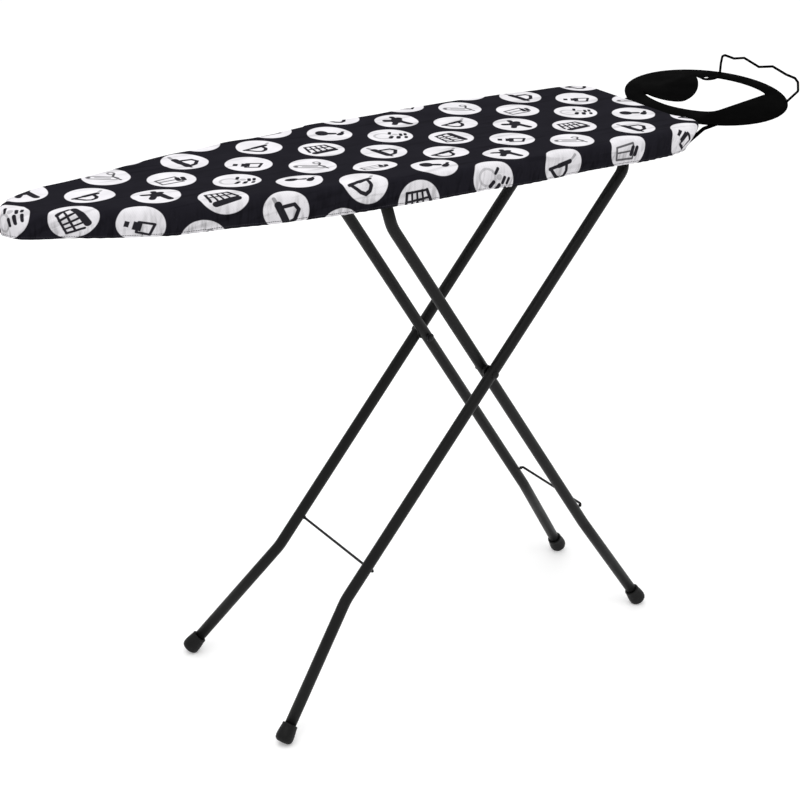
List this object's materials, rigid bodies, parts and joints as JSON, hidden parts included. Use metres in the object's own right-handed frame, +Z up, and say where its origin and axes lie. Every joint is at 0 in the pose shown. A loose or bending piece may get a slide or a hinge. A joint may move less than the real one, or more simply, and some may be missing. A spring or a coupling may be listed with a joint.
{
  "type": "ironing board",
  "caption": "Folding ironing board with a fabric-covered perforated top on crossed tube legs, a sprung height lever and a plate iron rest with a wire guard at the tail.",
  "frame": {"origin": "on the floor under the middle of the whole object's bounding box, with the board level and the legs open at working height", "axes": "+X along the board from the rounded nose to the iron rest at the tail, +Y to the left of someone looking from the nose to the tail, +Z up"},
  "size_m": [1.317, 0.3324, 0.8957],
  "materials": {
    "panel_steel": "light grey painted perforated sheet steel",
    "black_steel": "black powder-coated pressed steel",
    "leg_paint": "satin black paint on round tube",
    "rest_black": "matt black heat-proof coating",
    "zinc": "bright zinc-plated steel",
    "cover": "charcoal cotton weave with a staggered print of round white laundry motifs",
    "felt": "off-white needled felt",
    "elastic": "white woven elastic in the cover's hem",
    "grip_plastic": "moulded black plastic",
    "foot_rubber": "moulded black ferrule",
    "nylon": "black nylon spacer"
  },
  "bodies": {
    "board": {"board_panel": "panel_steel", "rim_nose": "black_steel", "rim_tail": "black_steel", "rim_left": "black_steel", "rim_right": "black_steel", "felt_pad": "felt", "fabric_cover": "cover", "hem_elastic": "elastic", "height_rail": "black_steel", "rail_rivet_1": "zinc", "rail_rivet_2": "zinc", "rail_rivet_3": "zinc", "rail_rivet_4": "zinc", "hinge_strap_left": "black_steel", "hinge_strap_right": "black_steel", "strap_rivet_1": "zinc", "strap_rivet_2": "zinc", "strap_rivet_3": "zinc", "strap_rivet_4": "zinc", "lever_pin": "zinc", "lever_spring": "zinc", "rest_plate": "rest_black", "rest_rod_left": "rest_black", "rest_rod_right": "rest_black", "rest_channel": "black_steel", "channel_rivet_1": "zinc", "channel_rivet_2": "zinc", "channel_rivet_3": "zinc", "channel_rivet_4": "zinc", "wire_guard": "rest_black"},
    "lever": {"height_lever": "black_steel", "lever_grip": "grip_plastic"},
    "outer_frame": {"outer_leg_left": "leg_paint", "outer_leg_right": "leg_paint", "hinge_tube": "leg_paint", "outer_stretcher": "leg_paint", "outer_foot_left": "foot_rubber", "outer_foot_right": "foot_rubber", "pivot_rivet_left": "leg_paint", "pivot_rivet_right": "leg_paint", "pivot_spacer_left": "nylon", "pivot_spacer_right": "nylon"},
    "inner_frame": {"inner_leg_left": "leg_paint", "inner_leg_right": "leg_paint", "slide_bar": "zinc", "inner_stretcher": "leg_paint", "inner_foot_left": "foot_rubber", "inner_foot_right": "foot_rubber", "bar_cap_left": "zinc", "bar_cap_right": "zinc", "pivot_washer_left": "zinc", "pivot_washer_right": "zinc"}
  },
  "joints": [
    {"name": "frame_fold", "type": "hinge", "parent": "board", "child": "outer_frame", "pos_m": [0.3131, 0, 0.802], "axis": [0, 1, 0], "range_deg": [0, 48.26]},
    {"name": "frame_cross", "type": "hinge", "parent": "outer_frame", "child": "inner_frame", "pos_m": [0.0678, 0, 0.5017], "axis": [0, 1, 0], "range_deg": [-103.9, 0]},
    {"name": "lever_release", "type": "hinge", "parent": "board", "child": "lever", "pos_m": [-0.262, 0, 0.7952], "axis": [0, 1, 0], "range_deg": [0, 5], "stiffness_Nm_per_rad": 1, "springref_deg": -20.05}
  ],
  "couplings": [
    {"joint": "frame_cross", "follows": "frame_fold", "ratio": -2.1521}
  ]
}
